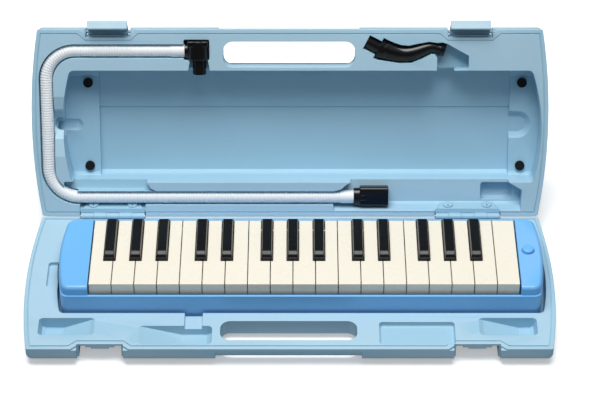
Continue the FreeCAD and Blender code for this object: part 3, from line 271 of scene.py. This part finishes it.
CASE_BLUE = (0.350, 0.580, 0.725)
BODY_BLUE = (0.168, 0.500, 0.925)
CREAM = (0.905, 0.850, 0.720)
BLACK = (0.0035, 0.0035, 0.004)

FINISHES = {
    "case_plastic": moulded_plastic("case_plastic", CASE_BLUE, 0.46, painted_edge_highlight=0.12),
    # The latches take the case's blue darkened by 0.78: painted shade that dims their well-lit faces.
    "latch_plastic": moulded_plastic("latch_plastic", shade(CASE_BLUE, 0.78), 0.4, painted_edge_highlight=0.1),
    "hinge_plate": moulded_plastic("hinge_plate", shade(CASE_BLUE, 0.96), 0.42, radius=0.0004),
    "steel": metal("steel", (0.62, 0.62, 0.60), 0.28),
    "black_rubber": moulded_plastic("black_rubber", (0.003, 0.003, 0.0035), 0.6, vary=0.2,
                                    Specular_IOR_Level=0.3),
    "hose_plastic": moulded_plastic("hose_plastic", (0.88, 0.90, 0.915), 0.42, wave=0.0, vary=0.03,
                                    radius=0.0003),
    "black_plastic": moulded_plastic("black_plastic", BLACK, 0.2, grain_height=0.000004, vary=0.2,
                                     wave=0.00003, wave_scale=40.0, Specular_IOR_Level=0.42),
    "body_plastic": moulded_plastic("body_plastic", BODY_BLUE, 0.34, grain_height=0.000015,
                                    wave=0.00012, painted_edge_highlight=0.08),
    "chamber_plastic": moulded_plastic("chamber_plastic", (0.60, 0.62, 0.63), 0.45),
    "gasket_rubber": moulded_plastic("gasket_rubber", (0.05, 0.05, 0.055), 0.7, vary=0.2),
    "brass": metal("brass", (0.83, 0.62, 0.27), 0.3, (1.0, 14.0, 1.0)),
    "bronze": metal("bronze", (0.80, 0.52, 0.30), 0.26, (8.0, 1.0, 1.0)),
    "socket_plastic": moulded_plastic("socket_plastic", (0.03, 0.03, 0.033), 0.35),
    "felt": felt("felt", (0.32, 0.03, 0.04)),
    "white_key": moulded_plastic("white_key", CREAM, 0.27, grain_height=0.000003, wave=0.00001,
                                 wave_scale=12.0, vary=0.02, radius=0.0004),
    "black_key": moulded_plastic("black_key", BLACK, 0.31, grain_height=0.000005, vary=0.2,
                                 wave=0.00001, wave_scale=20.0, radius=0.0011,
                                 Specular_IOR_Level=0.36),
}


def dress(thing, slot_name):
    """Give a made piece one slot's finish."""
    thing.data.materials.clear()
    thing.data.materials.append(FINISHES[slot_name])


def dress_nodes():
    """Give every slot of every CAD node its finish."""
    for thing in nodes.values():
        slots = [material.name.split(".")[0] for material in thing.data.materials if material]
        for place, slot_name in enumerate(slots):
            thing.data.materials[place] = FINISHES[slot_name]


# ---------------------------------------------------------------- pieces in the lid

LID_LEAN = math.radians(24.76)
HINGE_BACK, HINGE_UP = 0.088, 0.0205


def from_lid(x, along, out):
    """A point of the open lid: across, up the lid from its hinge, out of the lid's face, in mm."""
    y = HINGE_BACK * 1000 + along * math.sin(LID_LEAN) - out * math.cos(LID_LEAN)
    z = HINGE_UP * 1000 + along * math.cos(LID_LEAN) + out * math.sin(LID_LEAN)
    return Vector((x, y, z)) / 1000.0


# The hose's route in mm, as places across the lid and up it. With the weight ROUND_CORNER, a
# right-angled corner of the spline is a quarter circle, which starts at the share BEND_START of
# the way from the corner to the point beside it.
ROUND_CORNER, BEND_START = 0.5469, 0.6464
RADIUS_LOW, RADIUS_HIGH = 28.0, 27.0
HOSE_SUNK = 6.3
LOW, HIGH, LEFT = 17.3, 155.8, -223.0
BEND_LOW, BEND_HIGH = RADIUS_LOW / BEND_START, RADIUS_HIGH / BEND_START
HOSE_ROUTE = [(61.0, LOW), (-60.0, LOW), (LEFT + BEND_LOW, LOW), (LEFT, LOW), (LEFT, LOW + BEND_LOW),
              (LEFT, HIGH - BEND_HIGH), (LEFT, HIGH), (LEFT + BEND_HIGH, HIGH), (-94.0, HIGH)]
CORNERS = (3, 6)


def hose_line():
    """Points along the hose's centre, read from its NURBS spline."""
    data = bpy.data.curves.new("hose_line", "CURVE")
    data.dimensions = "3D"
    data.resolution_u = 64
    spline = data.splines.new("NURBS")
    spline.points.add(len(HOSE_ROUTE) - 1)
    for index, (x, along) in enumerate(HOSE_ROUTE):
        point = from_lid(x, along, -HOSE_SUNK)
        weight = ROUND_CORNER if index in CORNERS else 1.0
        spline.points[index].co = (*point, weight)
    spline.order_u = 3
    spline.use_endpoint_u = True
    curve = bpy.data.objects.new("hose_line", data)
    scene.collection.objects.link(curve)
    bpy.context.view_layer.update()
    mesh = bpy.data.meshes.new_from_object(curve)
    points = [vertex.co.copy() for vertex in mesh.vertices]
    bpy.data.objects.remove(curve)
    return points


def stations(points, step):
    """Evenly spaced places along a line: where and which way."""
    lengths = [0.0]
    for a, b in zip(points, points[1:]):
        lengths.append(lengths[-1] + (b - a).length)
    total = lengths[-1]
    count = int(round(total / step))
    found, segment = [], 0
    for index in range(count + 1):
        target = total * index / count
        while segment < len(points) - 2 and lengths[segment + 1] < target:
            segment += 1
        share = (target - lengths[segment]) / max(lengths[segment + 1] - lengths[segment], 1e-9)
        found.append((target, points[segment].lerp(points[segment + 1], share)))
    return found, total


def mesh_object(name, vertices, faces, smooth=True):
    mesh = bpy.data.meshes.new(name)
    mesh.from_pydata([tuple(v) for v in vertices], [], faces)
    mesh.validate()
    mesh.update()
    if smooth:
        mesh.polygons.foreach_set("use_smooth", [True] * len(mesh.polygons))
    made = bpy.data.objects.new(name, mesh)
    scene.collection.objects.link(made)
    return made


def swept_rings(name, line, radii, sides, up):
    """A closed-end tube through places along a line with a radius at each place."""
    vertices, faces = [], []
    for index, centre in enumerate(line):
        ahead = line[min(index + 1, len(line) - 1)] - line[max(index - 1, 0)]
        ahead.normalize()
        across = up.cross(ahead).normalized()
        over = ahead.cross(across)
        for side in range(sides):
            angle = 2 * math.pi * side / sides
            vertices.append(centre + (across * math.cos(angle) + over * math.sin(angle)) * radii[index])
    for index in range(len(line) - 1):
        for side in range(sides):
            after = (side + 1) % sides
            a, b = index * sides + side, index * sides + after
            faces.append((a, b, b + sides, a + sides))
    faces.append(tuple(reversed(range(sides))))
    faces.append(tuple((len(line) - 1) * sides + side for side in range(sides)))
    return mesh_object(name, vertices, faces)


RING_PITCH, RING_STEPS = 0.0024, 8
HOSE_CREST, HOSE_VALLEY = 0.0058, 0.0055
HOSE_SIDES = 36


def make_hose():
    """The corrugated hose: rounded crests with narrower valleys between them."""
    found, total = stations(hose_line(), RING_PITCH / RING_STEPS)
    rings = round(total / RING_PITCH)
    radii = []
    for along, _ in found:
        wave = 0.5 + 0.5 * math.cos(2 * math.pi * rings * along / total)
        radii.append(HOSE_VALLEY + (HOSE_CREST - HOSE_VALLEY) * wave ** 0.6)
    up = (from_lid(0, 0, 1) - from_lid(0, 0, 0)).normalized()
    hose = swept_rings("corrugated_hose", [place for _, place in found], radii, HOSE_SIDES, up)
    dress(hose, "hose_plastic")
    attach(hose, "hose_set")
    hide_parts("hose_tube")


HINGES, RIVET_OFFSETS = (-164.5, 164.5), (-18.0, 18.0)
RIVET_FOOT, RIVET_HEIGHT, MARK_DROP = (9.3, -6.0), 0.00152, 0.0024
LEAF_NORMAL = (11.0, 3.8)
MARK_HALF_WIDTH, MARK_HALF_LENGTH, MARK_THICK = 0.0004, 0.0012, 0.00004


def make_painted_rivet_shade():
    """Painted shade: a short, thin dark sheet on the lower part of each hinge rivet's head, in place of
    a slot's shadow.
    """
    out = (from_lid(0, *LEAF_NORMAL) - from_lid(0, 0, 0)).normalized()
    across = Vector((1.0, 0.0, 0.0))
    upward = out.cross(across)
    vertices, faces = [], []
    for place in [hinge + offset for hinge in HINGES for offset in RIVET_OFFSETS]:
        centre = from_lid(place, *RIVET_FOOT) + out * RIVET_HEIGHT - upward * MARK_DROP
        first = len(vertices)
        for level in (0.0, MARK_THICK):
            for side, end in ((-1, -1), (1, -1), (1, 1), (-1, 1)):
                corner = across * MARK_HALF_WIDTH * side + upward * MARK_HALF_LENGTH * end
                vertices.append(centre + corner + out * level)
        faces.append((first + 3, first + 2, first + 1, first))
        faces.append((first + 4, first + 5, first + 6, first + 7))
        for k in range(4):
            after = (k + 1) % 4
            faces.append((first + k, first + after, first + after + 4, first + k + 4))
    marks = mesh_object("painted_rivet_shade", vertices, faces, smooth=False)
    # The dark rubber finish paints the slot's shade onto the head.
    dress(marks, "gasket_rubber")
    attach(marks, "lid")


make_camera()
make_lights()
make_floor()
dress_nodes()
make_hose()
make_painted_rivet_shade()

bpy.context.view_layer.update()
